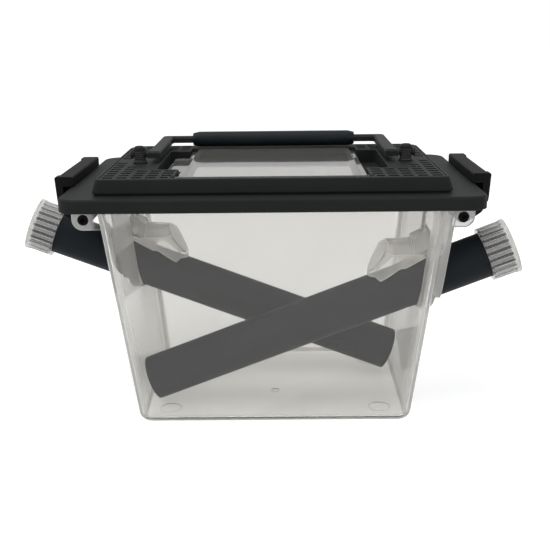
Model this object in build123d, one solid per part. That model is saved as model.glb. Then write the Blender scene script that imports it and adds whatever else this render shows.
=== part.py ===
from build123d import *
import os
from math import cos, radians, sin, tan

# Cricket breeding box: a clear tapered tank with a black lid, a carrying handle,
# two end latches and two sloping dispensing tubes, each under a drop flap.
# Millimetres, +Z up, origin on the ground under the middle of the box,
# +X to the right of someone facing the front, +Y towards the back.
# The right tube lies in the front half, the left one is the same turned half round.

# Fits
seat_gap = 0.3            # between pieces that rest on each other
pin_clearance = 0.06      # radial, in hinge bores
slide_clearance = 0.08    # radial, cap on tube
side_play = 0.4           # on each side of a piece that swings between two walls

# Tank
floor_length = 116.0
floor_depth = 83.0
floor_thickness = 1.6
ejector_mark_radius = 4.6  # shallow round recesses under the floor
ejector_mark_depth = 0.3
ejector_mark_inset_x = 12.0
ejector_mark_inset_y = 14.5
tank_wall = 1.8
wall_draft = 0.115        # outward lean per mm of height, the same on all four walls
wall_corner_radius = 6.0
floor_edge_radius = 4.0
rim_height = 97.6
rim_thickness = 2.0
gate_mark_radius = 1.7
gate_mark_depth = 0.4
gate_mark_y = -8.4

# Lid frame
lid_end_reach = 14.276    # lid beyond the tank's wall at the rim, at each end
lid_side_reach = 2.276
lid_corner_radius = 8.0
lid_plate = 1.9
lid_skirt = 1.6
lid_edge_radius = 1.2
skirt_drop = 3.5          # skirt below the underside of the plate
rim_play = 0.6            # between tank rim and lid skirt
locating_rib_end_gap = 27.5  # from the rib's end to the lid's end
locating_rib_thickness = 1.5
locating_rib_drop = 3.7
locating_rib_play = 0.4

# Lid top, the raised cover that stands on the frame
top_end_inset = 14.5      # from the lid's edge
top_side_inset = 8.0
top_front_corner_radius = 2.5
top_back_corner_radius = 8.0
top_height = 6.5
top_wall = 1.8
top_end_flare = 2.0       # the foot is wider than the upper face by this at each end
top_side_flare = 0.9
top_edge_radius = 0.6
top_foot_radius = 0.8     # under the flared edge
shadow_gap_height = 0.5
shadow_gap_inset = 1.2
spigot_inset = 2.7
spigot_wall = 1.5
spigot_corner_radius = 4.3
foot_plate = 1.2
border_groove_width = 0.8
border_groove_depth = 0.6
border_groove_inset = 0.8
border_groove_front_gap = 2.5
border_groove_back_gap = 9.0

# Grille slots in the lid top
slot_length = 4.4
slot_width = 3.1
slot_column_pitch = 5.7
slot_row_pitch = 5.2
slot_columns = 5
slot_rows = 8             # from the front to the middle, and again from the back
first_row_inset = 4.0     # from the front of the lid top
last_column_inset = 4.2   # from the end of the lid top
patch_rows = 4            # outer rows in which every column has slots
second_column_rows = 6    # outer rows of the last column but one

# Window door and its seat
door_end_gap = 30.8       # from the door to the end of the lid top
door_back_gap = 10.5      # from the door to the back of the lid top
door_play = 0.5
door_plate = 1.5
door_seat_depth = 3.5
door_seat_ledge = 3.5
door_seat_plate = 1.6
door_rim_width = 1.8
door_slope_width = 1.1
door_hinge_inset = 5.0    # from the front of the lid top
door_nose_radius = 2.4
door_pin_radius = 1.1
door_pin_length = 1.5
door_slot_play = 0.15
hinge_boss_length = 2.2
hinge_boss_depth = 5.2
tab_reach = 6.1
tab_front_y = -20.0
tab_length = 35.8
tab_radius = 1.5

# Finger wells beside the door
well_under_door = 2.4     # the well reaches this far under the door's edge
well_width = 12.2
well_front_y = -24.0
well_back_y = 27.0
well_depth = 6.3
well_radius = 1.5

# Handle
handle_pivot_y = -6.5
handle_reach = 47.0       # pivot to the middle of the grip
arm_width = 5.4
arm_to_post = 3.8         # from the arm's outer face to the middle of the post
bar_width = 4.4
bar_thickness = 3.0
bar_corner_radius = 3.2
bar_inner_radius = 1.6
bar_edge_radius = 0.7
foot_inner_step = 0.4     # between the arm's foot and the post
foot_depth = 5.0
grip_end_gap = 9.5        # from the grip to the arms
grip_radius = 3.6
grip_end_radius = 2.9
grip_end_length = 3.0
grip_clearance = 0.05
pivot_stub_radius = 1.4
pivot_head_radius = 1.75
pivot_head_length = 0.9
post_inset = 11.8         # middle of the post from the end of the lid top
post_radius = 2.5
post_foot_radius = 3.0
post_foot_height = 0.9
post_top_radius = 1.4
post_height_over_axis = 3.5
post_groove_depth = 0.25
post_groove_count = 5

# Latches
latch_proud = 6.1         # latch's outer face beyond the lid
latch_lean = 0.6          # the outer face leans in by this at the foot of the lid
latch_wall = 2.6
latch_width = 54.6
latch_shoulder = 2.7      # the foot is narrower by this on each side
latch_foot_drop = 2.0     # from the skirt's lower edge to the top of the foot
hook_overlap = 1.4
hook_height = 3.95
hook_gap = 0.4
latch_edge_radius = 0.8
latch_knuckle_radius = 3.0
latch_pivot_inset = 4.5   # from the lid's end
latch_pivot_drop = 8.4    # from the skirt's lower edge to the pivot
latch_pin_radius = 2.3
latch_pin_bore_radius = 1.3
latch_pin_bore_depth = 1.6
latch_rib_count = 5
latch_rib_thickness = 1.6
latch_notch_end_gap = 4.3
latch_notch_width = 1.5
latch_notch_depth = 1.0

# Ears of the tank that carry the latches
ear_thickness = 2.5
ear_proud = 0.2           # beyond the lid's end
ear_drop = 4.4            # from the pivot to the foot of the ear
ear_corner_radius = 4.5
ear_lid_gap = 0.4

# Dispensing tubes
tube_radius = 9.8
tube_wall = 1.2
tube_length_right = 165.6
tube_length_left = 176.0
tube_angle = 21.0         # above the horizontal
tube_offset_y = 17.0      # from the middle plane of the box
tube_cross_height = 31.95  # of the axis, over the middle of the box
tube_edge = 0.3

# Ports in the end walls
port_clearance = 0.35
pocket_inner_radius = 11.8
pocket_wall = 1.8
pocket_lift = 1.0         # middle of the pocket's round bottom, over the tube's axis at the wall
sleeve_reach = 4.4        # low part of the pocket, beyond the end wall
hood_foot_z = 51.4
hood_reach = 6.5          # high part of the pocket, beyond the end wall at its foot
hood_lean = 0.14          # outward per mm of height

# Tube caps
cap_wall = 1.8
cap_end_wall = 1.8
cap_depth = 10.2          # length of tube inside the cap
cap_flutes = 24
cap_flute_radius = 0.85
cap_rim_length = 1.8
cap_rim_height = 0.35
cap_lip_length = 1.0

# Port flaps
flap_pin_radius = 1.2
flap_knuckle_radius = 2.3
flap_hood_gap = 0.4
flap_wall = 1.2
flap_neck_thickness = 2.0
flap_eave_drop = 1.5      # of the eaves under the hinge
flap_rim_depth = 4.0      # room for hollowing below the hood's rim

# Side view of a flap, as (inward from the hinge, up from the hinge)
flap_neck_end = (13.4, -7.65)
flap_rim = [(28.2, -13.1), (25.6, -12.2), (23.4, -13.7), (15.3, -7.5), flap_neck_end, (0.0, 0.0)]
flap_roof = [(9.7, 3.6), (20.3, 2.3), (27.9, -10.6)]
flap_peak = [(9.7, 3.6), (9.7, -3.0), (0.0, 0.0), (-0.2, 3.2), (3.7, 9.5), (4.9, 6.8)]

# Lengths and places along the box that follow from the sizes above
wall_spread = wall_draft * rim_height
lid_length = floor_length + 2 * (wall_spread + lid_end_reach)
lid_depth = floor_depth + 2 * (wall_spread + lid_side_reach)
top_length = lid_length - 2 * top_end_inset
top_depth = lid_depth - 2 * top_side_inset
locating_rib_length = lid_length - 2 * locating_rib_end_gap
door_width = top_length - 2 * door_end_gap
door_back_y = top_depth / 2 - door_back_gap
door_hinge_y = -top_depth / 2 + door_hinge_inset
well_inner_x = door_width / 2 - well_under_door
well_outer_x = well_inner_x + well_width
first_column_x = top_length / 2 - last_column_inset - (slot_columns - 1) * slot_column_pitch
post_x = top_length / 2 - post_inset
arm_outer_x = post_x - arm_to_post
arm_inner_x = arm_outer_x - arm_width
grip_length = 2 * (arm_inner_x - grip_end_gap)
latch_outer_x = lid_length / 2 + latch_proud
latch_pivot_x = lid_length / 2 - latch_pivot_inset
latch_foot_width = latch_width - 2 * latch_shoulder
latch_notch_length = latch_width - 2 * latch_notch_end_gap
ear_outer_x = lid_length / 2 + ear_proud

# Levels that follow from the sizes above
floor_top = floor_thickness
lid_underside = rim_height + seat_gap
lid_top_z = lid_underside + lid_plate
skirt_bottom_z = lid_underside - skirt_drop
latch_foot_top_z = skirt_bottom_z - latch_foot_drop
latch_pivot_z = skirt_bottom_z - latch_pivot_drop
ear_bottom_z = latch_pivot_z - ear_drop
top_z = lid_top_z + top_height
seat_z = top_z - door_seat_depth
top_plate_z = top_z - top_wall
door_underside = seat_z + seat_gap
door_hinge_z = top_z - door_nose_radius
handle_axis_z = top_z + seat_gap + grip_radius
grip_y = handle_pivot_y + handle_reach
tube_rise = tan(radians(tube_angle))
tube_cos = cos(radians(tube_angle))
tube_sin = sin(radians(tube_angle))
tube_direction = Vector(tube_cos, 0, tube_sin)
tube_end_z = floor_top + seat_gap + tube_radius * tube_cos
tube_end_x = (tube_end_z - tube_cross_height) / tube_rise
tube_end = Vector(tube_end_x, -tube_offset_y, tube_end_z)
half_round = Rot(0, 0, 180)


def wall_x(z):
    """Outside of the right end wall at height z."""
    return floor_length / 2 + wall_draft * z


def hood_x(z):
    """Outside of the hood over the right port at height z."""
    return wall_x(hood_foot_z) + hood_reach + hood_lean * (z - hood_foot_z)


port_x = wall_x(tube_cross_height) / (1 - wall_draft * tube_rise)
port_z = tube_cross_height + port_x * tube_rise
pocket_z = port_z + pocket_lift

# The flap's hinge lies just over the tube and just inside the hood
hinge_over_tube = seat_gap + flap_knuckle_radius
hinge_over_axis = (tube_radius + hinge_over_tube) / tube_cos
flap_hinge_x = (
    hood_x(tube_cross_height + hinge_over_axis) - pocket_wall - flap_knuckle_radius - flap_hood_gap
) / (1 - hood_lean * tube_rise)
flap_hinge_z = tube_cross_height + flap_hinge_x * tube_rise + hinge_over_axis


def from_hinge(point):
    """(x, z) of a point given inward and up from the right flap's hinge."""
    inward, up = point
    return (flap_hinge_x - inward, flap_hinge_z + up)


def slab(length, depth, radius, bottom_z, top_z_value):
    """A flat plate with rounded corners, centred on the middle of the box."""
    outline = Pos(0, 0, bottom_z) * RectangleRounded(length, depth, radius)
    return extrude(outline, amount=top_z_value - bottom_z)


def block(x_from, x_to, y_from, y_to, z_from, z_to):
    """A plain block between two corners."""
    size = (x_to - x_from, y_to - y_from, z_to - z_from)
    return Pos(x_from, y_from, z_from) * Box(*size, align=(Align.MIN, Align.MIN, Align.MIN))


def side_prism(points, width, y_middle=0.0):
    """A prism across the box from an (x, z) outline."""
    outline = Plane.XZ * Polygon(*points, align=None)
    return Pos(0, y_middle, 0) * extrude(outline, amount=width / 2, both=True)


def cross_rod(radius, length, x, z, y_middle=0.0):
    """A round rod across the box."""
    return Pos(x, y_middle, z) * Rot(90, 0, 0) * Cylinder(radius, length)


def along_tube(start, radius, length):
    """A round bar on the axis of the right tube, from start along its length."""
    origin = tube_end + tube_direction * start
    axis = Plane(origin=origin, x_dir=(0, 1, 0), z_dir=tube_direction)
    return axis * Cylinder(radius, length, align=(Align.CENTER, Align.CENTER, Align.MIN))


def both_ends(shape):
    """A right-hand feature together with the left-hand one."""
    return shape + half_round * shape


# Tank
def tank_section(z, inset):
    """Horizontal section of the tapered wall at height z, inset from the outside."""
    grow = 2 * (wall_draft * z - inset)
    outline = RectangleRounded(floor_length + grow, floor_depth + grow, wall_corner_radius - inset)
    return Pos(0, 0, z) * outline


def tapered_block(bottom_z, top_z_value, inset, bottom_radius):
    """The tank's tapered form between two heights, with a rounded foot."""
    form = loft([tank_section(bottom_z, inset), tank_section(top_z_value, inset)], ruled=True)
    return fillet(form.faces().sort_by(Axis.Z)[0].edges(), bottom_radius)


def u_channel(radius, x_from, x_to):
    """A round-bottomed channel through the right end wall, open at the rim."""
    height = rim_height + rim_thickness - pocket_z
    profile = Pos(-tube_offset_y, pocket_z) * Circle(radius)
    profile += Pos(-tube_offset_y, pocket_z + height / 2) * Rectangle(2 * radius, height)
    return Pos(x_from, 0, 0) * extrude(Plane.YZ * profile, amount=x_to - x_from)


def pocket(inset, top):
    """The right port's pocket: a low sleeve and the hood over it, inset from the outside."""
    low_z = pocket_z - pocket_inner_radius - 2 * pocket_wall
    inside_x = wall_x(low_z) - 2 * tank_wall
    step_z = hood_foot_z + inset
    outline = [
        (inside_x, low_z),
        (wall_x(low_z) + sleeve_reach - inset, low_z),
        (wall_x(step_z) + sleeve_reach - inset, step_z),
        (hood_x(step_z) - inset, step_z),
        (hood_x(top) - inset, top),
        (inside_x, top),
    ]
    radius = pocket_inner_radius + pocket_wall - inset
    channel = u_channel(radius, inside_x, hood_x(top))
    return side_prism(outline, 2 * radius, -tube_offset_y) & channel


def ear(y_middle):
    """One clear plate that carries an end of the right latch."""
    shelf_x = lid_length / 2 - lid_skirt - rim_play
    top = skirt_bottom_z - ear_lid_gap
    shelf_z = rim_height - rim_thickness / 2
    root_x = wall_x(ear_bottom_z) - tank_wall / 2
    outline = Polygon(
        (root_x, ear_bottom_z),
        (ear_outer_x, ear_bottom_z),
        (ear_outer_x, top),
        (shelf_x, top),
        (shelf_x, shelf_z),
        (root_x, shelf_z),
        align=None,
    )
    corner = outline.vertices().sort_by_distance((ear_outer_x, ear_bottom_z, 0))[0]
    outline = fillet(corner, ear_corner_radius)
    plate = extrude(Plane.XZ * outline, amount=ear_thickness / 2, both=True)
    return Pos(0, y_middle, 0) * plate


ear_y = (latch_width + 2 * side_play - ear_thickness) / 2


def make_tank():
    rim_outline = (lid_length - 2 * lid_skirt - 2 * rim_play, lid_depth - 2 * lid_skirt - 2 * rim_play)
    rim_radius = lid_corner_radius - lid_skirt - rim_play
    shell = tapered_block(0, rim_height, 0, floor_edge_radius)
    shell += slab(*rim_outline, rim_radius, rim_height - rim_thickness, rim_height)
    shell += both_ends(pocket(0, rim_height))
    shell += both_ends(ear(ear_y) + ear(-ear_y))
    hollow_top = rim_height + rim_thickness
    shell -= tapered_block(floor_top, hollow_top, tank_wall, floor_edge_radius - tank_wall)
    shell -= both_ends(pocket(pocket_wall, hollow_top))
    port_start = (port_x - tube_end_x) / tube_cos - 2 * tube_radius
    shell -= both_ends(along_tube(port_start, tube_radius + port_clearance, 4 * tube_radius))
    latch_bore = cross_rod(latch_pin_radius + pin_clearance, latch_width + 4, latch_pivot_x, latch_pivot_z)
    pocket_width = 2 * (pocket_inner_radius + pocket_wall)
    flap_bore = cross_rod(flap_pin_radius, pocket_width + 2, flap_hinge_x, flap_hinge_z, -tube_offset_y)
    outer_ear = block(hood_x(ear_bottom_z) + 0.5, ear_outer_x + 1, -ear_y - 3, ear_y + 3, ear_bottom_z, rim_height)
    shell -= both_ends(latch_bore & outer_ear)
    shell -= both_ends(flap_bore)
    mark_x = floor_length / 2 - ejector_mark_inset_x
    mark_y = floor_depth / 2 - ejector_mark_inset_y
    ejector_mark = Cylinder(ejector_mark_radius, 2 * ejector_mark_depth)
    for x in (-mark_x, mark_x):
        for y in (-mark_y, mark_y):
            shell -= Pos(x, y, 0) * ejector_mark
    return shell - Pos(0, gate_mark_y, 0) * Cylinder(gate_mark_radius, 2 * gate_mark_depth)


# Lid
def make_lid_frame():
    frame = slab(lid_length, lid_depth, lid_corner_radius, skirt_bottom_z, lid_top_z)
    top_rim = frame.faces().sort_by(Axis.Z)[-1].edges()
    frame = fillet(top_rim, lid_edge_radius)
    frame -= slab(
        lid_length - 2 * lid_skirt,
        lid_depth - 2 * lid_skirt,
        lid_corner_radius - lid_skirt,
        skirt_bottom_z,
        lid_underside,
    )
    opening_inset = spigot_inset - seat_gap
    frame -= slab(
        top_length - 2 * opening_inset,
        top_depth - 2 * opening_inset,
        spigot_corner_radius + seat_gap,
        skirt_bottom_z,
        lid_top_z,
    )
    rib_bottom = lid_underside - locating_rib_drop
    inner_face = tank_half_depth(rib_bottom) - locating_rib_play
    half_rib = locating_rib_length / 2
    for side in (-1, 1):
        near = side * (inner_face - locating_rib_thickness)
        far = side * inner_face
        y_from, y_to = min(near, far), max(near, far)
        frame += block(-half_rib, half_rib, y_from, y_to, rib_bottom, lid_underside)
    return frame


def tank_half_depth(z):
    """Inside of the front and back walls at height z."""
    return floor_depth / 2 + wall_draft * z - tank_wall


def slot_places():
    """Middles of all grille slots in the right half, as (x, y)."""
    for column in range(slot_columns):
        from_edge = slot_columns - 1 - column
        rows = slot_rows if from_edge == 0 else second_column_rows if from_edge == 1 else patch_rows
        for row in range(rows):
            x = first_column_x + column * slot_column_pitch
            y = top_depth / 2 - first_row_inset - row * slot_row_pitch
            yield x, -y
            beside_well = x - slot_length / 2 < well_outer_x + door_seat_plate
            if not (beside_well and y - slot_width / 2 < well_back_y + door_seat_plate):
                yield x, y


def top_outline(z, end_grow, side_grow):
    """Outline of the lid top at height z, grown beyond its upper face."""
    outline = Rectangle(top_length + 2 * end_grow, top_depth + 2 * side_grow)
    outline = fillet(outline.vertices().sort_by(Axis.Y)[:2], top_front_corner_radius + side_grow)
    outline = fillet(outline.vertices().sort_by(Axis.Y)[-2:], top_back_corner_radius + side_grow)
    return Pos(0, 0, z) * outline


def make_lid_top():
    base_z = lid_top_z + shadow_gap_height
    cover = loft([top_outline(base_z, top_end_flare, top_side_flare), top_outline(top_z, 0, 0)], ruled=True)
    cover = fillet(cover.faces().sort_by(Axis.Z)[-1].edges(), top_edge_radius)
    cover = fillet(cover.faces().sort_by(Axis.Z)[0].edges(), top_foot_radius)
    foot = top_outline(lid_top_z, top_end_flare - shadow_gap_inset, top_side_flare - shadow_gap_inset)
    cover += extrude(foot, amount=shadow_gap_height)
    cover += slab(
        top_length - 2 * spigot_inset,
        top_depth - 2 * spigot_inset,
        spigot_corner_radius,
        lid_underside,
        lid_top_z,
    )
    hollow_bottom = lid_top_z + foot_plate
    cover -= extrude(top_outline(hollow_bottom, -top_wall, -top_wall), amount=top_plate_z - hollow_bottom)
    spigot_inner = spigot_inset + spigot_wall
    cover -= slab(
        top_length - 2 * spigot_inner,
        top_depth - 2 * spigot_inner,
        spigot_corner_radius - spigot_wall,
        lid_underside,
        hollow_bottom,
    )

    # Door seat, finger wells and the bosses that hold the door's pins
    seat_half = door_width / 2 + door_play
    seat_back = door_back_y + door_play
    seat_front = -top_depth / 2 + top_wall
    pan_bottom = seat_z - door_seat_plate
    wall = door_seat_plate
    boss_front = door_hinge_y - hinge_boss_depth / 2
    boss_back = door_hinge_y + hinge_boss_depth / 2
    boss_outer = seat_half + hinge_boss_length
    well_floor = top_z - well_depth
    cover += block(-seat_half - wall, seat_half + wall, seat_front, seat_back + wall, pan_bottom, top_plate_z)
    for side in (0, 180):
        turn = Rot(0, 0, side)
        y_flip = 1 if side == 0 else -1
        well_y = sorted((y_flip * well_front_y, y_flip * well_back_y))
        boss_y = sorted((y_flip * boss_front, y_flip * boss_back))
        well_body = block(
            well_inner_x - wall, well_outer_x + wall, well_y[0] - wall, well_y[1] + wall,
            well_floor - wall, top_plate_z,
        )
        boss_body = block(seat_half, boss_outer, boss_y[0], boss_y[1], pan_bottom, top_plate_z)
        cover += turn * (well_body + boss_body)
    cover -= block(-seat_half, seat_half, seat_front, seat_back, seat_z, top_z)
    opening_half = seat_half - door_seat_ledge
    cover -= block(-opening_half, opening_half, seat_front, seat_back - door_seat_ledge, lid_underside, seat_z)
    nose_back = door_hinge_y + door_nose_radius + seat_gap
    cover -= block(-seat_half, seat_half, seat_front, nose_back, lid_underside, seat_z)
    for side in (0, 180):
        turn = Rot(0, 0, side)
        y_flip = 1 if side == 0 else -1
        well_y = sorted((y_flip * well_front_y, y_flip * well_back_y))
        middle = ((well_inner_x + well_outer_x) / 2, sum(well_y) / 2, well_floor)
        outline = RectangleRounded(well_outer_x - well_inner_x, well_y[1] - well_y[0], well_radius)
        cover -= turn * Pos(*middle) * extrude(outline, amount=well_depth)
        slot_radius = door_pin_radius + door_slot_play
        slot_length_x = door_pin_length + door_play
        slot_x = seat_half + slot_length_x / 2 - door_play
        slot_y = y_flip * door_hinge_y
        pin_slot = Pos(slot_x, slot_y, door_hinge_z) * Rot(0, 90, 0) * Cylinder(slot_radius, slot_length_x)
        pin_slot += block(
            slot_x - slot_length_x / 2, slot_x + slot_length_x / 2,
            slot_y - slot_radius, slot_y + slot_radius, door_hinge_z, top_z,
        )
        cover -= turn * pin_slot

    # Grilles and the groove inside the side borders
    slots = Sketch()
    for x, y in slot_places():
        for x_side in (-1, 1):
            slots += Pos(x_side * x, y) * Rectangle(slot_length, slot_width)
    for x_side in (-1, 1):
        slots -= Pos(x_side * seat_half, door_hinge_y) * Rectangle(2 * hinge_boss_length, hinge_boss_depth)
    cover -= Pos(0, 0, top_plate_z) * extrude(slots, amount=top_wall)
    groove_front = -top_depth / 2 + border_groove_front_gap
    groove_back = top_depth / 2 - border_groove_back_gap
    groove_x = top_length / 2 - border_groove_inset - border_groove_width / 2
    groove = Box(border_groove_width, groove_back - groove_front, 2 * border_groove_depth)
    for x_side in (-1, 1):
        cover -= Pos(x_side * groove_x, (groove_front + groove_back) / 2, top_z) * groove
    return cover


def make_window_door():
    """Clear door: a rounded hinge nose in front, a flat rim, a raised pane and a finger tab."""
    half = door_width / 2
    rim_top = door_underside + door_plate
    door = block(-half, half, door_hinge_y, door_back_y, door_underside, rim_top)
    door += block(-half - tab_reach, -half, tab_front_y, tab_front_y + tab_length, door_underside, rim_top)
    outer_corners = door.edges().filter_by(Axis.Z).sort_by(Axis.X)[:2]
    door = fillet(outer_corners, tab_radius)
    nose = Pos(0, door_hinge_y, door_hinge_z) * Rot(0, 90, 0) * Cylinder(door_nose_radius, door_width)
    pane_half = half - door_rim_width
    pane_back = door_back_y - door_rim_width
    pane_depth = pane_back - door_hinge_y
    pane_y = (pane_back + door_hinge_y) / 2

    def pane(inset, z_from, z_to):
        """The raised pane's tapered form; its front end runs into the hinge nose."""
        shift = door_slope_width / 2
        low = Pos(0, pane_y, z_from) * Rectangle(2 * (pane_half - inset), pane_depth - 2 * inset)
        high_size = (2 * (pane_half - inset - door_slope_width), pane_depth - 2 * inset - door_slope_width)
        high = Pos(0, pane_y - shift, z_to) * Rectangle(*high_size)
        return loft([low, high], ruled=True)

    door += pane(0, rim_top, top_z)
    door -= pane(door_plate, door_underside, top_z - door_plate)
    door += nose
    for side in (-1, 1):
        pin_x = side * (half + door_pin_length / 2 - 0.1)
        pin = Cylinder(door_pin_radius, door_pin_length + 0.2)
        door += Pos(pin_x, door_hinge_y, door_hinge_z) * Rot(0, 90, 0) * pin
    return door


# Handle
def make_handle_post(x):
    """A ringed post that stands on the lid and takes the handle's stub."""
    height = handle_axis_z + post_height_over_axis - top_z
    ring_space = height - post_foot_height - post_top_radius
    profile = [(0, 0), (post_foot_radius, 0), (post_foot_radius, post_foot_height), (post_radius, post_foot_height)]
    for ring in range(post_groove_count):
        ring_z = post_foot_height + ring_space * (ring + 1) / (post_groove_count + 1)
        profile += [
            (post_radius, ring_z - post_groove_depth),
            (post_radius - post_groove_depth, ring_z),
            (post_radius, ring_z + post_groove_depth),
        ]
    profile += [(post_radius, height), (0, height)]
    post = revolve(Plane.XZ * Polygon(*profile, align=None), Axis.Z)
    post = fillet(post.faces().sort_by(Axis.Z)[-1].edges(), post_top_radius)
    bore = Rot(0, 90, 0) * Cylinder(pivot_stub_radius + pin_clearance, 4 * post_radius)
    post -= Pos(0, 0, handle_axis_z - top_z) * bore
    return Pos(x, handle_pivot_y, top_z) * post


def make_handle_bail():
    """Flat bail: cross bar, two arms and their feet in one plane, with round stubs at the pivots."""
    front_y = handle_pivot_y - foot_depth / 2
    back_y = grip_y + bar_width / 2
    outer = Pos(0, (front_y + back_y) / 2) * Rectangle(2 * arm_outer_x, back_y - front_y)
    outer = fillet(outer.vertices().sort_by(Axis.Y)[2:], bar_corner_radius)
    inner_back = grip_y - bar_width / 2
    inner = Pos(0, (front_y - 1 + inner_back) / 2) * Rectangle(2 * arm_inner_x, inner_back - front_y + 1)
    inner = fillet(inner.vertices().sort_by(Axis.Y)[2:], bar_inner_radius)
    foot_x = post_x - post_foot_radius - foot_inner_step
    flat = outer - inner
    for side in (-1, 1):
        foot_middle = Pos(side * (arm_inner_x + foot_x) / 2, handle_pivot_y)
        flat += foot_middle * Rectangle(foot_x - arm_inner_x, foot_depth)
    bail = extrude(Pos(0, 0, handle_axis_z) * flat, amount=bar_thickness / 2, both=True)
    bail = chamfer(bail.faces().sort_by(Axis.Z)[-1].edges(), bar_edge_radius)
    head_x = post_x + post_radius + side_play
    for side in (-1, 1):
        stub_length = head_x - foot_x + 1
        stub = Pos(side * (foot_x + stub_length / 2 - 0.5), handle_pivot_y, handle_axis_z)
        bail += stub * Rot(0, 90, 0) * Cylinder(pivot_stub_radius, stub_length)
        head = Pos(side * (head_x + pivot_head_length / 2), handle_pivot_y, handle_axis_z)
        bail += head * Rot(0, 90, 0) * Cylinder(pivot_head_radius, pivot_head_length)
    return bail


def make_handle_grip():
    """Thick sleeve on the cross bar, narrowed at both ends."""
    half = grip_length / 2
    outline = Polygon(
        (-half, 0),
        (-half, grip_end_radius),
        (-half + grip_end_length, grip_radius),
        (half - grip_end_length, grip_radius),
        (half, grip_end_radius),
        (half, 0),
        align=None,
    )
    sleeve = revolve(outline, Axis.X)
    sleeve -= Box(grip_length + 1, bar_width + 2 * grip_clearance, bar_thickness + 2 * grip_clearance)
    return Pos(0, grip_y, handle_axis_z) * sleeve


# Latches
def make_latch():
    """Right latch: a hook over the lid's edge, a leaning face, and a knuckle between the ears."""
    hook_bottom = lid_top_z + hook_gap
    hook_top = hook_bottom + hook_height
    tip_x = lid_length / 2 - hook_overlap
    foot_x = latch_outer_x - latch_lean
    inner_x = foot_x - latch_wall
    bend_x = latch_pivot_x + 2.75 * latch_knuckle_radius
    outline = Polygon(
        (tip_x, hook_bottom),
        (tip_x, hook_top),
        (latch_outer_x, hook_top),
        (foot_x, skirt_bottom_z),
        (foot_x - latch_lean / 2, skirt_bottom_z - latch_wall),
        (bend_x, latch_pivot_z + 0.5 * latch_knuckle_radius),
        (latch_pivot_x + 0.85 * latch_knuckle_radius, latch_pivot_z - 0.85 * latch_knuckle_radius),
        (latch_pivot_x, latch_pivot_z + 0.95 * latch_knuckle_radius),
        (bend_x - 0.8 * latch_wall, latch_pivot_z + 1.2 * latch_knuckle_radius),
        (inner_x, skirt_bottom_z - latch_wall),
        (inner_x, hook_bottom),
        align=None,
    )
    tops = outline.vertices().sort_by(Axis.Y)[-2:]
    outline = fillet(tops, latch_edge_radius)
    bend = outline.vertices().sort_by_distance((bend_x, latch_pivot_z + 0.5 * latch_knuckle_radius, 0))[0]
    outline = fillet(bend, latch_knuckle_radius)
    band = extrude(Plane.XZ * outline, amount=latch_width / 2, both=True)
    for side in (-1, 1):
        y_middle = side * (latch_width + latch_foot_width) / 4
        low_corner = Pos(0, y_middle, 0) * Box(
            400, (latch_width - latch_foot_width) / 2, 2 * latch_foot_top_z,
        )
        band -= low_corner
    band += cross_rod(latch_knuckle_radius, latch_foot_width, latch_pivot_x, latch_pivot_z)
    pin_length = 2 * ear_y + ear_thickness
    band += cross_rod(latch_pin_radius, pin_length, latch_pivot_x, latch_pivot_z)
    for side in (-1, 1):
        pin_face = side * (pin_length - latch_pin_bore_depth) / 2
        band -= cross_rod(latch_pin_bore_radius, latch_pin_bore_depth, latch_pivot_x, latch_pivot_z, pin_face)
    rib_x = lid_length / 2 + hook_gap
    rib_pitch = (latch_foot_width - 4 * latch_rib_thickness) / (latch_rib_count - 1)
    for rib in range(latch_rib_count):
        rib_y = (rib - (latch_rib_count - 1) / 2) * rib_pitch
        band += block(
            rib_x, inner_x + latch_wall / 2, rib_y - latch_rib_thickness / 2, rib_y + latch_rib_thickness / 2,
            skirt_bottom_z, hook_bottom + hook_height / 2,
        )
    notch = block(
        latch_outer_x - latch_notch_width, latch_outer_x + 1, -latch_notch_length / 2, latch_notch_length / 2,
        hook_top - latch_notch_depth, hook_top + 1,
    )
    return band - notch


# Tubes, caps and flaps
def make_tube(length):
    bore = along_tube(-1, tube_radius - tube_wall, length + 2)
    shell = along_tube(0, tube_radius, length)
    shell = chamfer(shell.edges().filter_by(GeomType.CIRCLE), tube_edge)
    return shell - bore


def make_tube_cap(tube_length):
    """Clear push-on cap with fluted sides, a plain rim at the closed end and a thin lip."""
    outer = tube_radius + slide_clearance + cap_wall
    start = tube_length + seat_gap - cap_depth
    length = cap_depth + cap_end_wall
    cap = along_tube(start, outer, length)
    flute_length = length - cap_rim_length - cap_lip_length
    origin = tube_end + tube_direction * (start + cap_lip_length)
    axis = Plane(origin=origin, x_dir=(0, 1, 0), z_dir=tube_direction)
    flute = Cylinder(cap_flute_radius, flute_length, align=(Align.CENTER, Align.CENTER, Align.MIN))
    flutes = [axis * (Rot(0, 0, turn * 360 / cap_flutes) * Pos(outer + 0.2, 0, 0) * flute)
              for turn in range(cap_flutes)]
    cap -= flutes
    cap += along_tube(start + length - cap_rim_length, outer + cap_rim_height, cap_rim_length)
    cap -= along_tube(start - 1, tube_radius + slide_clearance, cap_depth + 1)
    return cap


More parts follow.
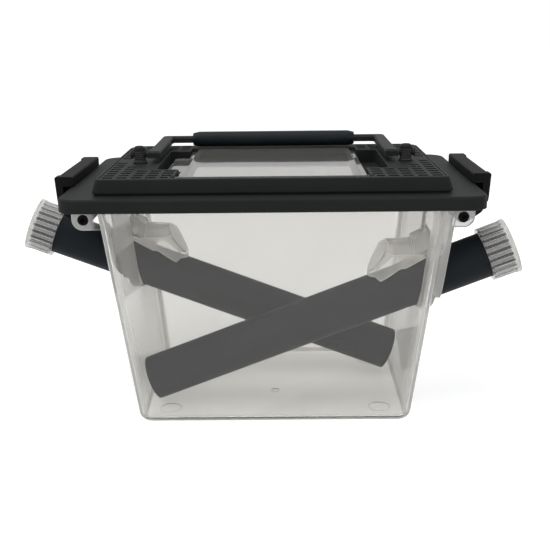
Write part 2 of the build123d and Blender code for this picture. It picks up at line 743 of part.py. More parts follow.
def make_flap():
    """Right flap: a knuckle, a flat neck, and a hipped hood that rises to a peak over the neck."""
    half_width = pocket_inner_radius - side_play
    eave_z = flap_hinge_z - flap_eave_drop
    tip_x = from_hinge(flap_rim[0])[0]
    low_z = from_hinge(flap_rim[0])[1] - 2 * flap_rim_depth

    def roof_section(ridge_up, inset):
        """Cross section: upright sides under a pitched roof."""
        half = half_width - inset
        ridge_z = flap_hinge_z + ridge_up - 1.3 * inset
        walls = [(-half, low_z), (half, low_z), (half, eave_z - inset), (0, ridge_z), (-half, eave_z - inset)]
        return Pos(-tube_offset_y, 0) * Polygon(*walls, align=None)

    def plan(inset):
        """Outline from above, with a round tip."""
        half = half_width - inset
        centre_x = tip_x + half_width
        outline = Pos(centre_x, -tube_offset_y) * Circle(half)
        middle_x = (centre_x + flap_hinge_x) / 2
        outline += Pos(middle_x, -tube_offset_y) * Rectangle(flap_hinge_x - centre_x, 2 * half)
        return outline

    def form(side_points, ridge_up, inset):
        """Side outline, roof and plan in one; hollow forms are inset by the wall."""
        outline = Polygon(*[from_hinge(point) for point in side_points], align=None)
        if inset:
            outline = offset(outline, amount=-inset, kind=Kind.INTERSECTION)
        body = Pos(0, -tube_offset_y, 0) * extrude(Plane.XZ * outline, amount=2 * half_width, both=True)
        body &= extrude(Plane.YZ * roof_section(ridge_up, inset), amount=2 * flap_hinge_x)
        return body & (Pos(0, 0, low_z) * extrude(plan(inset), amount=2 * flap_hinge_z))

    ridge_up = flap_roof[0][1]
    peak_up = max(up for inward, up in flap_peak)
    open_rim = [(inward, up - flap_rim_depth) for inward, up in flap_rim]
    flap = form(flap_roof + flap_rim, ridge_up, 0) + form(flap_peak, peak_up, 0)
    flap -= form(flap_roof + open_rim, ridge_up, flap_wall)
    flap -= form(flap_peak, peak_up, flap_wall)
    slope = Vector(*flap_neck_end).normalized()
    lift = (-slope.Y * flap_neck_thickness, slope.X * flap_neck_thickness)
    neck_end_top = (flap_neck_end[0] + lift[0], flap_neck_end[1] + lift[1])
    neck = [from_hinge(point) for point in ((0.0, 0.0), flap_neck_end, neck_end_top, lift)]
    flap += side_prism(neck, 2 * half_width, -tube_offset_y)
    flap += cross_rod(flap_knuckle_radius, 2 * half_width, flap_hinge_x, flap_hinge_z, -tube_offset_y)
    bore_radius = flap_pin_radius + pin_clearance
    flap -= cross_rod(bore_radius, 4 * half_width, flap_hinge_x, flap_hinge_z, -tube_offset_y)
    return flap - along_tube(0, tube_radius + seat_gap, tube_length_left)


def make_flap_pin():
    length = 2 * (pocket_inner_radius + pocket_wall)
    return cross_rod(flap_pin_radius, length, flap_hinge_x, flap_hinge_z, -tube_offset_y)


nodes = {
    "tank": make_tank(),
    "lid_frame": make_lid_frame(),
    "lid_top": make_lid_top(),
    "window_door": make_window_door(),
    "handle_bail": make_handle_bail(),
    "handle_grip": make_handle_grip(),
    "handle_post_left": make_handle_post(-post_x),
    "handle_post_right": make_handle_post(post_x),
}
tube_lengths = {"right": tube_length_right, "left": tube_length_left}
for side, turn in {"right": Rot(0, 0, 0), "left": half_round}.items():
    nodes["latch_" + side] = turn * make_latch()
    nodes["tube_" + side] = turn * make_tube(tube_lengths[side])
    nodes["tube_cap_" + side] = turn * make_tube_cap(tube_lengths[side])
    nodes["port_flap_" + side] = turn * make_flap()
    nodes["flap_pin_" + side] = turn * make_flap_pin()

os.makedirs("parts", exist_ok=True)
for name, shape in nodes.items():
    export_step(shape, f"parts/{name}.step")
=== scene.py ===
from math import cos, radians, sin

import bmesh
import bpy
from bpy.props import FloatProperty, FloatVectorProperty, PointerProperty
from bpy.types import NodeSocket, Operator, Panel, PropertyGroup
from mathutils import Matrix, Vector

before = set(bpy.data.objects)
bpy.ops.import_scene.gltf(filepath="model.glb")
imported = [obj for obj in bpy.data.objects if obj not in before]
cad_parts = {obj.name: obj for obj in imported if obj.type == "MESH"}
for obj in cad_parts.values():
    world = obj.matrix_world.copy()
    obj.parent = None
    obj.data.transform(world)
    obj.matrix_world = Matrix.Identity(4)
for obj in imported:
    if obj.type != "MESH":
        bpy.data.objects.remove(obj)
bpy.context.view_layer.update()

bl_info = {
    "name": "Cricket breeding box",
    "version": (1, 0, 0),
    "blender": (4, 5, 0),
    "location": "3D View > Sidebar > Breeding box",
    "description": "Finishes a clear tank with a black lid, handle, latches and dispensing tubes",
    "category": "Object",
}

MM = 0.001
WHITE = (1.0, 1.0, 1.0, 1.0)

# Where the tubes, caps, ports and ears are on the box
TUBE_ANGLE = radians(21)
TUBE_OFFSET = 17 * MM         # of each tube's axis, to the side
TUBE_HEIGHT = 31.95 * MM      # of each tube's axis, over the middle of the box
FLUTES = 24                   # round each cap
FLUTE_RADIUS = 11.4 * MM      # at half the flutes' depth
FLUTE_REACH = 0.45 * MM       # to either side of that radius
PORT_HALF_WIDTH = 13.6 * MM
PORT_START = 60 * MM          # from the middle of the box
EAR_START = 74 * MM
SIDE_FADE = 1 * MM            # over which a port's milkiness ends at its sides
END_FADE = 2 * MM             # over which that of ports and ears starts

# Clear polystyrene
SHADOW_TINT = 0.97            # light that one clear surface lets through to what it shades
EDGE_ON = (0.68, 0.95)        # how far a wall turns away where the edge-on tint starts, and is full
WHITISH_RIM = (0.99, 0.82)    # cosine between the rounded and the flat normal, likewise
BEND = (0.95, 0.82)           # largest part of the normal along an axis, on a rounded corner
FLUTE_PAINTED_SHADE = (-0.1, 0.7)    # height of the wave round a cap, for the painted shade in its flutes
SCUFF_WIDTH = 3 * MM
SCUFF_NOISE = (0.35, 0.8)     # the part of the noise that the roughness follows
CLEAR_ROUGHNESS = (0.015, 0.06)

# Black polypropylene
POLYPROPYLENE_IOR = 1.49
EDGE_HIGHLIGHT_SPAN = (0.995, 0.86)   # cosine between the rounded and the flat normal, over which the painted edge highlight comes in
EDGE_HIGHLIGHT_SHARE = 0.8            # of the painted highlight colour on the edges, where it is strongest
TEXTURE_NOISE = (0.3, 0.75)   # the part of the grain's or lines' noise that the roughness follows
GRAIN_SMOOTHER = 0.06         # how far the grain takes the roughness down
GRAIN_ROUGHER = 0.07          # and up
GRAIN_BUMP = 0.6
TUBE_ROUGHNESS = (0.52, 0.6)
TUBE_SHINE = 0.1
DRAW_STRETCH = (0.02, 1.0, 1.0)  # makes the draw lines 50 times as long as they are wide
DRAW_DEPTH = 0.01 * MM
DRAW_BUMP = 0.4

BEVEL_SAMPLES = 4

# Stage
FLOOR_GAP = 0.2 * MM          # keeps the tank's flat underside off the floor
FLOOR_SQUARES = 8
FLOOR_GLOW = 0.62             # brings the lit floor to white
FLOOR_SHINE = 0.1
FLOOR_ROUGHNESS = (0.75, 0.9)
PAINT_PATCH = 60 * MM
ROOM_COLOUR = (0.97, 0.985, 1.0, 1.0)
KEY_PLACE, KEY_AIM, KEY_SIZE = (-0.25, -0.15, 0.9), (0, 0, 0.05), 0.7
FILL_PLACE, FILL_AIM, FILL_SIZE = (0.45, -0.7, 0.45), (0, 0, 0.06), 0.5
SENSOR_WIDTH = 36             # millimetres, as the lens
NEAREST, FARTHEST = 0.02, 20  # that the camera sees

# Sockets of a node that mixes two colours
MIX_SHARE, MIX_FIRST, MIX_SECOND, MIX_RESULT = 0, 6, 7, 2


# Settings

def linear(hex_colour):
    """Linear RGBA of an sRGB hex colour."""
    channels = [int(hex_colour[i:i + 2], 16) / 255 for i in (1, 3, 5)]
    return [c / 12.92 if c <= 0.04045 else ((c + 0.055) / 1.055) ** 2.4 for c in channels] + [1.0]


def colour_property(name, hex_colour, description):
    """A colour setting, from an sRGB hex colour."""
    return FloatVectorProperty(
        name=name, description=description, subtype="COLOR", size=4, min=0, max=1,
        default=linear(hex_colour),
    )


def length_property(name, metres, description):
    """A setting that holds a length."""
    return FloatProperty(name=name, description=description, default=metres, unit="LENGTH")


def angle_property(name, turn, description):
    """A setting that holds an angle, in radians."""
    return FloatProperty(name=name, description=description, default=turn, subtype="ANGLE")


class ClearPlastic(PropertyGroup):
    """Clear moulded polystyrene."""

    tank_colour: colour_property("Tank", "#E9E8E6", "Tint of the tank's walls")
    tank_haze: colour_property("Tank haze", "#E3E2DF", "Tint of the tank's hazy patches")
    port_colour: colour_property("Ports", "#F3F2F0", "Tint of the tank's ports and ears")
    bend_colour: colour_property("Corners", "#DFDEDA", "Tint of the tank's rounded corners")
    edge_on_colour: colour_property("Edge-on", "#DAD9D5", "Tint of walls seen edge-on")
    cap_colour: colour_property("Caps", "#EAE9E5", "Tint of the tube caps")
    # Colour of the painted shade in the bottoms of the caps' flutes
    flute_painted_shade: colour_property("Flutes", "#77767A", "Tint at the bottoms of the caps' flutes")
    flap_colour: colour_property("Flaps", "#FBFAF7", "Tint of the port flaps")
    window_colour: colour_property("Window", "#A2A19E", "Tint of the window door")
    haze_patch: length_property("Haze patch", 38 * MM, "Width of the hazy patches")
    flow_wave: length_property("Flow wave", 14 * MM, "Distance between the waves in the walls")
    flow_depth: length_property("Flow depth", 0.015 * MM, "Height of the waves in the walls")
    rim_width: length_property("Rim width", 0.6 * MM, "Width of the whitish edges")


class BlackPlastic(PropertyGroup):
    """Black moulded polypropylene and the soft grip."""

    colour: colour_property("Black", "#202221", "Main colour of the lid and handle")
    faded: colour_property("Faded", "#292B2A", "Colour where the black is paler")
    # Colour of the painted highlight along the edges
    edge: colour_property("Edges", "#686966", "Colour where edges are rubbed pale")
    latch: colour_property("Latches", "#141514", "Main colour of the latches")
    latch_faded: colour_property("Latches faded", "#1C1D1C", "Colour of the latches' paler parts")
    # Colour of the painted highlight along the latches' edges
    latch_edge_highlight: colour_property("Latch edges", "#3C3D3B", "Colour of the latches' rubbed edges")
    tube: colour_property("Tubes", "#1A1E22", "Main colour of the dispensing tubes")
    tube_faded: colour_property("Tubes faded", "#212529", "Colour of the tubes' paler parts")
    grip: colour_property("Grip", "#14191C", "Main colour of the grip")
    grip_faded: colour_property("Grip faded", "#1C2225", "Colour of the grip's paler parts")
    mottle: length_property("Mottle", 17 * MM, "Width of the paler patches")
    grain: length_property("Grain", 0.45 * MM, "Width of the mould's spark-eroded grain")
    grain_depth: length_property("Grain depth", 0.012 * MM, "Height of the grain")
    # Width of the rounded edges and of their painted highlight
    edge_width: length_property("Edge width", 0.35 * MM, "Width of the rubbed edges")
    draw_line: length_property("Draw lines", 0.9 * MM, "Distance between lines along the tubes")


class Studio(PropertyGroup):
    """Floor, light and camera."""

    floor_colour: colour_property("Floor", "#D8D8D8", "Colour of the floor")
    room_light: FloatProperty(
        name="Room light", description="Strength of the even light", default=0.55, min=0,
    )
    key_light: FloatProperty(
        name="Key light", description="Power of the large lamp overhead", default=4.2, min=0,
        unit="POWER",
    )
    fill_light: FloatProperty(
        name="Fill light", description="Power of the lamp beside the camera", default=1.1, min=0,
        unit="POWER",
    )
    floor_size: length_property("Floor size", 8.0, "Width of the floor")
    camera_place: FloatVectorProperty(
        name="Camera", description="Where the camera stands", subtype="TRANSLATION",
        unit="LENGTH", default=(3.5873 * MM, -383.2718 * MM, 165.6864 * MM),
    )
    camera_pan: angle_property("Pan", -0.0084, "Turn of the camera to the right")
    camera_tilt: angle_property("Tilt", 0.2847, "How far the camera looks down")
    camera_roll: angle_property("Roll", -0.0109, "Turn of the camera about its own axis")
    camera_lens: FloatProperty(
        name="Lens", description="Focal length in millimetres on a 36 mm sensor", default=57.411,
    )


# Nodes

def add(tree, kind, inputs=None, **settings):
    """Adds one node with its settings. Each input gets a value, or the socket that feeds it."""
    node = tree.nodes.new(kind)
    for name, value in settings.items():
        setattr(node, name, value)
    for name, value in (inputs or {}).items():
        if isinstance(value, NodeSocket):
            tree.links.new(value, node.inputs[name])
        else:
            node.inputs[name].default_value = value
    return node


def new_material(name):
    """An empty node material, as (material, its node tree)."""
    material = bpy.data.materials.new(name)
    material.use_nodes = True
    material.node_tree.nodes.clear()
    return material, material.node_tree


def object_place(tree):
    """Object coordinates, which are the frame's own, in metres."""
    return add(tree, "ShaderNodeTexCoord").outputs["Object"]


def along_tube(tree, place, side):
    """A place turned about the box, so that X runs along the tube on that side."""
    turned = add(
        tree, "ShaderNodeVectorRotate", {"Vector": place, "Angle": side * TUBE_ANGLE},
        rotation_type="Y_AXIS",
    )
    return turned.outputs["Vector"]


def noise(tree, place, width, detail):
    """Noise with features of this width, in metres."""
    inputs = {"Vector": place, "Scale": 1 / width, "Detail": detail}
    return add(tree, "ShaderNodeTexNoise", inputs).outputs["Fac"]


def calculate(tree, operation, *values, **settings):
    """The result of an operation on numbers."""
    inputs = dict(enumerate(values))
    return add(tree, "ShaderNodeMath", inputs, operation=operation, **settings).outputs["Value"]


def calculate_vector(tree, operation, *values, result="Vector"):
    """The result of an operation on vectors: a Vector, or a Value such as a length."""
    inputs = dict(enumerate(values))
    return add(tree, "ShaderNodeVectorMath", inputs, operation=operation).outputs[result]


def separate(tree, vector):
    """The X, Y and Z of a vector."""
    return add(tree, "ShaderNodeSeparateXYZ", {"Vector": vector}).outputs


def fade(tree, value, span, result=(0.0, 1.0)):
    """Goes from one end of the result to the other while the value crosses the span."""
    inputs = {
        "Value": value, "From Min": span[0], "From Max": span[1],
        "To Min": result[0], "To Max": result[1],
    }
    return add(tree, "ShaderNodeMapRange", inputs).outputs["Result"]


def blend(tree, share, first, second):
    """A colour that has this share of the second colour, and the rest of the first."""
    inputs = {MIX_SHARE: share, MIX_FIRST: first, MIX_SECOND: second}
    return add(tree, "ShaderNodeMix", inputs, data_type="RGBA").outputs[MIX_RESULT]


def blend_shaders(tree, share, first, second):
    """A shader that has this share of the second shader, and the rest of the first."""
    inputs = {0: share, 1: first, 2: second}
    return add(tree, "ShaderNodeMixShader", inputs).outputs["Shader"]


def edge_mask(tree, width, span, most):
    """How much of an edge a place is on, up to the most, as (mask, normal with rounded edges)."""
    rounded = add(tree, "ShaderNodeBevel", {"Radius": width}, samples=BEVEL_SAMPLES)
    flat = add(tree, "ShaderNodeNewGeometry")
    agreement = calculate_vector(
        tree, "DOT_PRODUCT", rounded.outputs["Normal"], flat.outputs["Normal"], result="Value",
    )
    return fade(tree, agreement, span, (0.0, most)), rounded.outputs["Normal"]


# Materials

def clear_polystyrene(name, colour, haze, settings, ior, cloud, rim, edge_on_cloud):
    """General-purpose polystyrene, injection moulded and polished: clear and glossy, with faint
    hazy patches, shallow flow waves that bend what is seen through it, a greyer tint where it is
    seen edge-on, and edges that shine whitish. Cloud, rim and edge_on_cloud are the milky shares
    of the walls, of their edges and of walls seen edge-on."""
    material, tree = new_material(name)
    place = object_place(tree)
    tint = blend(tree, noise(tree, place, settings.haze_patch, detail=3.0), colour, haze)
    turned_away = add(tree, "ShaderNodeLayerWeight", {"Blend": 0.5}).outputs["Facing"]
    edge_on = fade(tree, turned_away, EDGE_ON)
    deep_tint = blend(tree, edge_on, tint, settings.edge_on_colour)
    scuffs = noise(tree, place, SCUFF_WIDTH, detail=5.0)
    waves = noise(tree, place, settings.flow_wave, detail=1.0)
    bump = add(tree, "ShaderNodeBump", {
        "Height": waves, "Strength": 1.0, "Distance": settings.flow_depth,
    })
    edges, _ = edge_mask(tree, settings.rim_width, WHITISH_RIM, rim)
    edge_on_milk = calculate(tree, "MULTIPLY", edge_on, edge_on_cloud)
    milk = calculate(tree, "MAXIMUM", edges, edge_on_milk)
    plastic = add(tree, "ShaderNodeBsdfPrincipled", {
        "Base Color": deep_tint,
        "Roughness": fade(tree, scuffs, SCUFF_NOISE, CLEAR_ROUGHNESS),
        "IOR": ior,
        "Transmission Weight": calculate(tree, "SUBTRACT", 1 - cloud, milk),
        "Normal": bump.outputs["Normal"],
    })
    unbent = add(tree, "ShaderNodeBsdfTransparent", {"Color": (SHADOW_TINT,) * 3 + (1,)})
    ray = add(tree, "ShaderNodeLightPath")
    surface = blend_shaders(
        tree, ray.outputs["Is Shadow Ray"], plastic.outputs["BSDF"], unbent.outputs["BSDF"],
    )
    add(tree, "ShaderNodeOutputMaterial", {"Surface": surface})
    return material, plastic


def cloud_thick_parts(tree, plastic, settings, port_cloud, ear_cloud, bend_cloud):
    """The tank's ports, ears and rounded corners are thicker than its walls, so they are milkier
    and have tints of their own."""
    coordinates = add(tree, "ShaderNodeTexCoord").outputs
    place = separate(tree, coordinates["Object"])
    end = calculate(tree, "SIGN", place["X"])
    across = calculate(tree, "MULTIPLY_ADD", place["Y"], end, TUBE_OFFSET)
    off_axis = calculate(tree, "ABSOLUTE", across)
    in_port = fade(
        tree, off_axis, (PORT_HALF_WIDTH, PORT_HALF_WIDTH + SIDE_FADE), (port_cloud, 0.0),
    )
    outward = calculate(tree, "ABSOLUTE", place["X"])
    at_end = fade(tree, outward, (PORT_START, PORT_START + END_FADE))
    port = calculate(tree, "MULTIPLY", in_port, at_end)
    ear = fade(tree, outward, (EAR_START, EAR_START + END_FADE), (0.0, ear_cloud))
    thick = calculate(tree, "MAXIMUM", port, ear)

    facing = separate(tree, calculate_vector(tree, "ABSOLUTE", coordinates["Normal"]))
    sideways = calculate(tree, "MAXIMUM", facing["X"], facing["Y"])
    flatness = calculate(tree, "MAXIMUM", sideways, facing["Z"])
    bend = fade(tree, flatness, BEND)
    milk = calculate(tree, "MAXIMUM", thick, calculate(tree, "MULTIPLY", bend, bend_cloud))

    clearness = plastic.inputs["Transmission Weight"]
    less = calculate(tree, "SUBTRACT", clearness.links[0].from_socket, milk, use_clamp=True)
    tree.links.new(less, clearness)
    tint = plastic.inputs["Base Color"]
    paler = blend(tree, at_end, tint.links[0].from_socket, settings.port_colour)
    tree.links.new(blend(tree, bend, paler, settings.bend_colour), tint)


def paint_shade_in_flutes(tree, plastic, side, painted_shade_colour):
    """Paints shade into the bottoms of the flutes round a cap."""
    turned = along_tube(tree, object_place(tree), side)
    to_axis = (0, side * TUBE_OFFSET, -TUBE_HEIGHT * cos(TUBE_ANGLE))
    centred = calculate_vector(tree, "ADD", turned, to_axis)
    place = separate(tree, centred)
    angle = calculate(tree, "ARCTAN2", place["Z"], place["Y"])
    wave = calculate(tree, "COSINE", calculate(tree, "MULTIPLY", angle, float(FLUTES)))
    bottom = fade(tree, wave, FLUTE_PAINTED_SHADE)
    off_axis = calculate_vector(tree, "MULTIPLY", centred, (0, 1, 1))
    radius = calculate_vector(tree, "LENGTH", off_axis, result="Value")
    on_flutes = calculate(tree, "COMPARE", radius, FLUTE_RADIUS, FLUTE_REACH)
    # Painted shade: the tint is darkened at the flutes' bottoms
    painted_shade_share = calculate(tree, "MULTIPLY", bottom, on_flutes)
    tint = plastic.inputs["Base Color"]
    tree.links.new(blend(tree, painted_shade_share, tint.links[0].from_socket, painted_shade_colour), tint)


def black_polypropylene(name, colour, faded, edge, settings, roughness, shine):
    """Black polypropylene moulded in a spark-eroded mould: satin, with a fine grain, slightly
    paler patches, and rounded edges with a painted pale highlight. The elastomer of the grip
    comes from such a mould too, and is smoother and shinier."""
    material, tree = new_material(name)
    place = object_place(tree)
    body = blend(tree, noise(tree, place, settings.mottle, detail=4.0), colour, faded)
    # Painted highlight: pale colour along the rounded edges
    painted_highlight, rounded = edge_mask(tree, settings.edge_width, EDGE_HIGHLIGHT_SPAN, EDGE_HIGHLIGHT_SHARE)
    # The real grain is near 0.1 mm, too fine for the picture, so it is drawn coarser
    grain = noise(tree, place, settings.grain, detail=2.0)
    bump = add(tree, "ShaderNodeBump", {
        "Height": grain, "Strength": GRAIN_BUMP, "Distance": settings.grain_depth,
        "Normal": rounded,
    })
    plastic = add(tree, "ShaderNodeBsdfPrincipled", {
        "Base Color": blend(tree, painted_highlight, body, edge),
        "Roughness": fade(
            tree, grain, TEXTURE_NOISE, (roughness - GRAIN_SMOOTHER, roughness + GRAIN_ROUGHER),
        ),
        "IOR": POLYPROPYLENE_IOR,
        "Specular IOR Level": shine,
        "Normal": bump.outputs["Normal"],
    })
    add(tree, "ShaderNodeOutputMaterial", {"Surface": plastic.outputs["BSDF"]})
    return material


def tube_polypropylene(name, side, settings):
    """Black polypropylene tube, drawn off a long polished core: matt, with faint lines along
    it and slightly paler patches."""
    material, tree = new_material(name)
    place = object_place(tree)
    drawn = calculate_vector(tree, "MULTIPLY", along_tube(tree, place, side), DRAW_STRETCH)
    lines = noise(tree, drawn, settings.draw_line, detail=3.0)
    patches = noise(tree, place, settings.mottle, detail=4.0)
    bump = add(tree, "ShaderNodeBump", {
        "Height": lines, "Strength": DRAW_BUMP, "Distance": DRAW_DEPTH,
    })
    plastic = add(tree, "ShaderNodeBsdfPrincipled", {
        "Base Color": blend(tree, patches, settings.tube, settings.tube_faded),
        "Roughness": fade(tree, lines, TEXTURE_NOISE, TUBE_ROUGHNESS),
        "IOR": POLYPROPYLENE_IOR,
        "Specular IOR Level": TUBE_SHINE,
        "Normal": bump.outputs["Normal"],
    })
    add(tree, "ShaderNodeOutputMaterial", {"Surface": plastic.outputs["BSDF"]})
    return material


def finish_nodes(names, material):
    """Gives CAD nodes their finish."""
    for name in names:
        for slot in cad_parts[name].material_slots:
            slot.material = material


# Operators

class FinishTank(Operator):
    """Clear tank, with its port pockets and latch ears"""

    bl_idname = "breeding_box.finish_tank"
    bl_label = "Tank"

    def execute(self, context):
        clear = context.scene.clear_plastic
        material, plastic = clear_polystyrene(
            "clear_polystyrene_tank", clear.tank_colour, clear.tank_haze, clear,
            ior=1.14, cloud=0.055, rim=0.3, edge_on_cloud=0.8,
        )
        cloud_thick_parts(
            material.node_tree, plastic, clear, port_cloud=0.22, ear_cloud=0.35, bend_cloud=0.4,
        )
        finish_nodes(["tank"], material)
        return {"FINISHED"}


class FinishFlaps(Operator):
    """Clear port flaps and their pins"""

    bl_idname = "breeding_box.finish_flaps"
    bl_label = "Port flaps"

    def execute(self, context):
        clear = context.scene.clear_plastic
        material, _ = clear_polystyrene(
            "clear_polystyrene_flap", clear.flap_colour, clear.flap_colour, clear,
            ior=1.1, cloud=0.27, rim=0.5, edge_on_cloud=0.2,
        )
        finish_nodes(
            ["port_flap_left", "port_flap_right", "flap_pin_left", "flap_pin_right"], material,
        )
        return {"FINISHED"}


class FinishCaps(Operator):
    """Clear fluted tube caps"""

    bl_idname = "breeding_box.finish_caps"
    bl_label = "Tube caps"

    def execute(self, context):
        clear = context.scene.clear_plastic
        for node, side in (("tube_cap_right", 1), ("tube_cap_left", -1)):
            material, plastic = clear_polystyrene(
                "clear_polystyrene_" + node, clear.cap_colour, clear.tank_colour, clear,
                ior=1.25, cloud=0.27, rim=0.25, edge_on_cloud=0.5,
            )
            paint_shade_in_flutes(material.node_tree, plastic, side, clear.flute_painted_shade)
            finish_nodes([node], material)
        return {"FINISHED"}


class FinishWindow(Operator):
    """Clear window door in the lid"""

    bl_idname = "breeding_box.finish_window"
    bl_label = "Window door"

    def execute(self, context):
        clear = context.scene.clear_plastic
        material, _ = clear_polystyrene(
            "clear_polystyrene_window", clear.window_colour, clear.window_colour, clear,
            ior=1.14, cloud=0.09, rim=0.3, edge_on_cloud=0.0,
        )
        finish_nodes(["window_door"], material)
        return {"FINISHED"}


class FinishLid(Operator):
    """Black lid frame and the raised top with its grilles"""

    bl_idname = "breeding_box.finish_lid"
    bl_label = "Lid"

    def execute(self, context):
        black = context.scene.black_plastic
        material = black_polypropylene(
            "black_polypropylene_lid", black.colour, black.faded, black.edge, black,
            roughness=0.6, shine=0.06,
        )
        finish_nodes(["lid_frame", "lid_top"], material)
        return {"FINISHED"}


class FinishHandle(Operator):
    """Black bail and its ringed posts"""

    bl_idname = "breeding_box.finish_handle"
    bl_label = "Handle"

    def execute(self, context):
        black = context.scene.black_plastic
        material = black_polypropylene(
            "black_polypropylene_bail", black.colour, black.faded, black.edge, black,
            roughness=0.56, shine=0.08,
        )
        finish_nodes(["handle_bail", "handle_post_left", "handle_post_right"], material)
        return {"FINISHED"}


class FinishGrip(Operator):
    """Smooth grip on the bail"""

    bl_idname = "breeding_box.finish_grip"
    bl_label = "Handle grip"

    def execute(self, context):
        black = context.scene.black_plastic
        material = black_polypropylene(
            "black_elastomer_grip", black.grip, black.grip_faded, black.edge, black,
            roughness=0.42, shine=0.12,
        )
        finish_nodes(["handle_grip"], material)
        return {"FINISHED"}


class FinishLatches(Operator):
    """Black latches at both ends"""

    bl_idname = "breeding_box.finish_latches"
    bl_label = "Latches"

    def execute(self, context):
        black = context.scene.black_plastic
        material = black_polypropylene(
            "black_polypropylene_latch", black.latch, black.latch_faded, black.latch_edge_highlight, black,
            roughness=0.6, shine=0.05,
        )
        finish_nodes(["latch_left", "latch_right"], material)
        return {"FINISHED"}


class FinishTubes(Operator):
    """Black dispensing tubes"""

    bl_idname = "breeding_box.finish_tubes"
    bl_label = "Tubes"

    def execute(self, context):
        black = context.scene.black_plastic
        for node, side in (("tube_right", 1), ("tube_left", -1)):
            finish_nodes([node], tube_polypropylene("black_polypropylene_" + node, side, black))
        return {"FINISHED"}


def white_to_sight(tree):
    """1 for the rays that show the background: straight, mirrored or through clear plastic."""
    ray = add(tree, "ShaderNodeLightPath").outputs
    seen = calculate(tree, "MAXIMUM", ray["Is Camera Ray"], ray["Is Glossy Ray"])
    return calculate(tree, "MAXIMUM", seen, ray["Is Transmission Ray"])


def add_lamp(name, place, aim, size, power):
    """A large square lamp that faces a point."""
    lamp = bpy.data.lights.new(name, "AREA")
    lamp.size = size
    lamp.energy = power
    lamp_object = bpy.data.objects.new(name, lamp)
    bpy.context.scene.collection.objects.link(lamp_object)
    lamp_object.location = place
    to_aim = Vector(aim) - Vector(place)
    lamp_object.rotation_euler = to_aim.to_track_quat("-Z", "Y").to_euler()


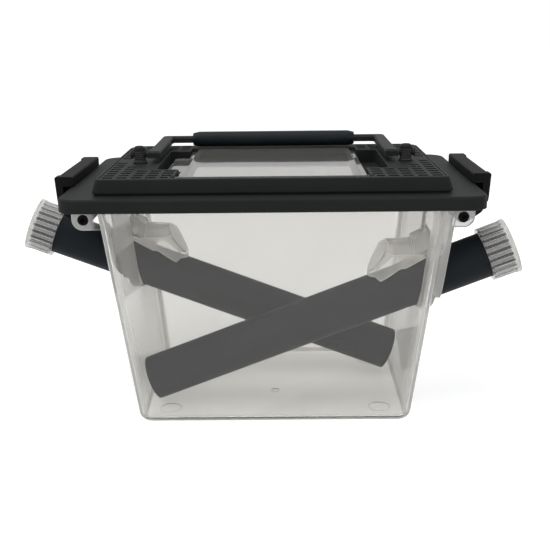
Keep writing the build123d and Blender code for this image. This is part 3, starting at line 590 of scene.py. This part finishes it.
class BuildStage(Operator):
    """Pale floor, white background, soft lamps and the camera"""

    bl_idname = "breeding_box.build_stage"
    bl_label = "Floor, light and camera"

    def execute(self, context):
        studio = context.scene.studio
        self.build_floor(studio, context.scene)
        self.build_light(studio, context.scene)
        self.build_camera(studio, context.scene)
        return {"FINISHED"}

    def floor_paint(self, colour):
        """Matt pale paint, faintly uneven. Its glow brings it to white in the picture."""
        material, tree = new_material("painted_floor")
        patches = noise(tree, object_place(tree), PAINT_PATCH, detail=3.0)
        paint = add(tree, "ShaderNodeBsdfPrincipled", {
            "Base Color": colour,
            "Roughness": fade(tree, patches, (0.0, 1.0), FLOOR_ROUGHNESS),
            "Specular IOR Level": FLOOR_SHINE,
        })
        glow = add(tree, "ShaderNodeEmission", {
            "Color": WHITE,
            "Strength": calculate(tree, "MULTIPLY", white_to_sight(tree), FLOOR_GLOW),
        })
        both = add(tree, "ShaderNodeAddShader", {
            0: paint.outputs["BSDF"], 1: glow.outputs["Emission"],
        })
        add(tree, "ShaderNodeOutputMaterial", {"Surface": both.outputs["Shader"]})
        return material

    def build_floor(self, studio, scene):
        mesh = bpy.data.meshes.new("floor")
        form = bmesh.new()
        bmesh.ops.create_grid(
            form, x_segments=FLOOR_SQUARES, y_segments=FLOOR_SQUARES, size=studio.floor_size / 2,
        )
        form.to_mesh(mesh)
        form.free()
        mesh.materials.append(self.floor_paint(studio.floor_colour))
        floor = bpy.data.objects.new("floor", mesh)
        floor.location.z = -FLOOR_GAP
        scene.collection.objects.link(floor)

    def build_light(self, studio, scene):
        world = bpy.data.worlds.new("studio")
        world.use_nodes = True
        tree = world.node_tree
        tree.nodes.clear()
        light = add(tree, "ShaderNodeBackground", {
            "Color": ROOM_COLOUR, "Strength": studio.room_light,
        })
        white = add(tree, "ShaderNodeBackground", {"Color": WHITE, "Strength": 1.0})
        both = blend_shaders(
            tree, white_to_sight(tree), light.outputs["Background"], white.outputs["Background"],
        )
        add(tree, "ShaderNodeOutputWorld", {"Surface": both})
        scene.world = world
        add_lamp("key_lamp", KEY_PLACE, KEY_AIM, KEY_SIZE, studio.key_light)
        add_lamp("fill_lamp", FILL_PLACE, FILL_AIM, FILL_SIZE, studio.fill_light)

    def build_camera(self, studio, scene):
        pan, tilt, roll = studio.camera_pan, studio.camera_tilt, studio.camera_roll
        ahead = Vector((sin(pan) * cos(tilt), cos(pan) * cos(tilt), -sin(tilt)))
        level_right = Vector((cos(pan), -sin(pan), 0))
        level_up = level_right.cross(ahead)
        right = cos(roll) * level_right + sin(roll) * level_up
        up = cos(roll) * level_up - sin(roll) * level_right
        lens = bpy.data.cameras.new("camera")
        lens.sensor_width = SENSOR_WIDTH
        lens.lens = studio.camera_lens
        lens.clip_start, lens.clip_end = NEAREST, FARTHEST
        camera = bpy.data.objects.new("camera", lens)
        scene.collection.objects.link(camera)
        turn = Matrix((right, up, -ahead)).transposed()
        camera.matrix_world = Matrix.Translation(studio.camera_place) @ turn.to_4x4()
        scene.camera = camera


class BREEDINGBOX_PT_pieces(Panel):
    """Lists the pieces of the box and the stage"""

    bl_label = "Cricket breeding box"
    bl_space_type = "VIEW_3D"
    bl_region_type = "UI"
    bl_category = "Breeding box"

    def draw(self, context):
        column = self.layout.column()
        for operator in OPERATORS:
            column.operator(operator.bl_idname)
        for settings, group in SETTINGS.items():
            values = getattr(context.scene, settings)
            for name in group.__annotations__:
                column.prop(values, name)


SETTINGS = {"clear_plastic": ClearPlastic, "black_plastic": BlackPlastic, "studio": Studio}
OPERATORS = (
    FinishTank, FinishFlaps, FinishCaps, FinishWindow, FinishLid, FinishHandle, FinishGrip,
    FinishLatches, FinishTubes, BuildStage,
)


def register():
    for item in (*SETTINGS.values(), *OPERATORS, BREEDINGBOX_PT_pieces):
        bpy.utils.register_class(item)
    for name, group in SETTINGS.items():
        setattr(bpy.types.Scene, name, PointerProperty(type=group))


def unregister():
    for name in SETTINGS:
        delattr(bpy.types.Scene, name)
    for item in reversed((*SETTINGS.values(), *OPERATORS, BREEDINGBOX_PT_pieces)):
        bpy.utils.unregister_class(item)


def main():
    register()
    bpy.context.scene.view_settings.view_transform = "Standard"
    for operator in OPERATORS:
        group, name = operator.bl_idname.split(".")
        getattr(getattr(bpy.ops, group), name)()
    bpy.context.view_layer.update()


if __name__ == "__main__":
    main()
